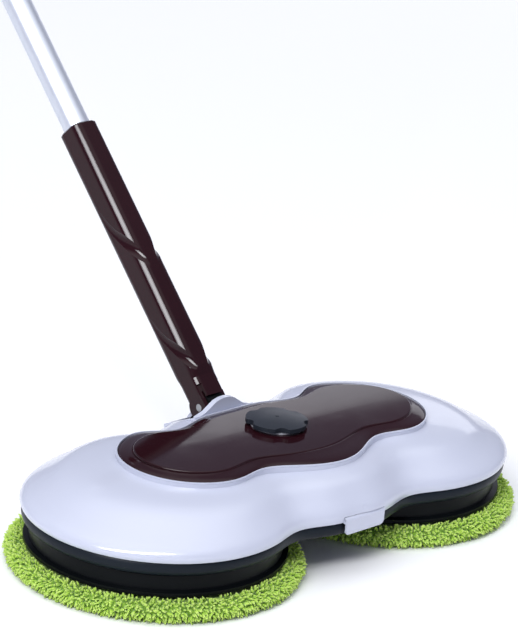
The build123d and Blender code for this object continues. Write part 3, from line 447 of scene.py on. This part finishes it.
def add_sole(store, reach, centre, rng):
    """Rings of flattened tufts under the pad."""
    rows = int(reach / SOLE_SPACING)
    for row in range(1, rows):
        radius = reach * row / rows
        count = int(2 * pi * radius / SOLE_SPACING)
        angle = ring_angles(count, 0.3, rng)
        root = np.full(count, SOLE_ROOT)
        base = np.stack((centre + radius * np.cos(angle), radius * np.sin(angle), root), axis=1)
        direction = unit(rng.normal(scale=1.0, size=(count, 3)) - np.array((0, 0, SOLE_DOWN)))
        length = rng.uniform(*SOLE_LENGTH, count) * MM
        girth = rng.uniform(*SOLE_GIRTH, count) * MM
        add_tufts(store, base, direction, length, girth, rng)


def chenille_pad(side, seed):
    """One pad: felt core, shaggy rim and a flattened pile under the sole."""
    low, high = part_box(f"pad_{side}")
    centre = (low[0] + high[0]) / 2
    profile = pad_profile(low, high)
    rng = np.random.default_rng(seed)
    store = {"verts": [], "faces": [], "tips": []}
    add_core(store, profile, centre)
    add_rim(store, profile, centre, rng)
    add_sole(store, high[0] - centre - SOLE_MARGIN, centre, rng)
    mesh = bpy.data.meshes.new(f"chenille_{side}")
    mesh.from_pydata(np.concatenate(store["verts"]).tolist(), [], store["faces"])
    tip = mesh.attributes.new("tip", "FLOAT", "POINT")
    tip.data.foreach_set("value", np.concatenate(store["tips"]))
    mesh.shade_smooth()
    mesh.materials.append(MATERIALS["chenille"])
    piece = bpy.data.objects.new(f"chenille_{side}", mesh)
    bpy.context.collection.objects.link(piece)
    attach(piece, f"disc_drive_{side}")
    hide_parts(f"pad_{side}")


chenille_pad("left", 11)
chenille_pad("right", 23)

# ---- Studio -----------------------------------------------------------------------------------------------

SKY = ((0.0, (0.145, 0.15, 0.20)), (0.66, (0.125, 0.13, 0.17)), (1.0, (0.95, 0.97, 1.0)))  # by height
SKY_STRENGTH = 2.05
FLOOR_WHITE = (0.98, 0.98, 0.98)
BACKDROP_PALE = (0.78, 0.795, 0.83)
LAMP_TINT = (0.96, 0.97, 1.0)
STUDIO_MIDDLE = Vector((0, 0.17, 0.18))
STUDIO_RADIUS = 30
KEY_SIDE = Vector((-0.692, -0.342, 0.635))
BACK_SIDE = Vector((0.86, 0.50, 0.24))
BACK_WIDTH = Vector((0.62, -0.77, 0))


def make_floor():
    """Matt white floor at z = 0."""
    mesh = bpy.data.meshes.new("floor")
    half = STUDIO_RADIUS
    corners = [(-half, -half, 0), (half, -half, 0), (half, half, 0), (-half, half, 0)]
    mesh.from_pydata(corners, [], [(0, 1, 2, 3)])
    floor = bpy.data.objects.new("floor", mesh)
    material, _, shader = new_material("floor_white")
    shader.inputs["Base Color"].default_value = (*FLOOR_WHITE, 1)
    shader.inputs["Roughness"].default_value = 0.9
    shader.inputs["Specular IOR Level"].default_value = 0.1
    mesh.materials.append(material)
    bpy.context.collection.objects.link(floor)


def make_backdrop():
    """Pale dome around the studio, which only the camera sees, so that it adds no light."""
    mesh = bpy.data.meshes.new("backdrop")
    shape = bmesh.new()
    bmesh.ops.create_uvsphere(shape, u_segments=64, v_segments=32, radius=STUDIO_RADIUS)
    shape.to_mesh(mesh)
    shape.free()
    mesh.shade_smooth()
    dome = bpy.data.objects.new("backdrop", mesh)
    material, _, shader = new_material("backdrop_pale")
    shader.inputs["Base Color"].default_value = (0, 0, 0, 1)
    shader.inputs["Specular IOR Level"].default_value = 0
    shader.inputs["Emission Color"].default_value = (*BACKDROP_PALE, 1)
    shader.inputs["Emission Strength"].default_value = 1
    mesh.materials.append(material)
    for rays in ("diffuse", "glossy", "transmission", "volume_scatter", "shadow"):
        setattr(dome, f"visible_{rays}", False)
    bpy.context.collection.objects.link(dome)


def softbox(name, towards, along, distance, width, height, power, only_gloss=False):
    """Rectangular lamp in a direction from the object's middle; its width lies along a second direction."""
    data = bpy.data.lights.new(name, "AREA")
    data.shape = "RECTANGLE"
    data.size = width
    data.size_y = height
    data.energy = power
    data.color = LAMP_TINT
    lamp = bpy.data.objects.new(name, data)
    facing = towards.normalized()
    across = (along - facing * facing.dot(along)).normalized()
    turn = Matrix((across, facing.cross(across), facing)).transposed().to_4x4()
    lamp.matrix_world = Matrix.Translation(STUDIO_MIDDLE + facing * distance) @ turn
    lamp.visible_camera = False
    lamp.visible_diffuse = not only_gloss
    bpy.context.collection.objects.link(lamp)


def make_world():
    """Pale sky that is bright overhead and dims towards the horizon."""
    world = bpy.data.worlds.new("studio")
    world.use_nodes = True
    tree = world.node_tree
    coords = tree.nodes.new("ShaderNodeTexCoord")
    split = tree.nodes.new("ShaderNodeSeparateXYZ")
    tree.links.new(coords.outputs["Generated"], split.inputs["Vector"])
    sky = ramp(tree, split.outputs["Z"], SKY)
    tree.links.new(sky.outputs["Color"], tree.nodes["Background"].inputs["Color"])
    tree.nodes["Background"].inputs["Strength"].default_value = SKY_STRENGTH
    bpy.context.scene.world = world


def make_studio():
    """Sky, a key lamp on the left of the neck, its gloss, and a low lamp behind the right lobe."""
    make_world()
    bpy.context.scene.view_settings.view_transform = "Standard"
    pole = Vector((0, cos(radians(POLE_ELEVATION)), sin(radians(POLE_ELEVATION))))
    key_width = pole.cross(KEY_SIDE)
    softbox("key", KEY_SIDE, key_width, distance=4.0, width=2.4, height=0.9, power=100)
    softbox("streak", KEY_SIDE, key_width, distance=4.1, width=4.4, height=1.0, power=220, only_gloss=True)
    softbox("back", BACK_SIDE, BACK_WIDTH, distance=3.2, width=1.6, height=0.7, power=4)


make_camera()
make_floor()
make_backdrop()
make_studio()
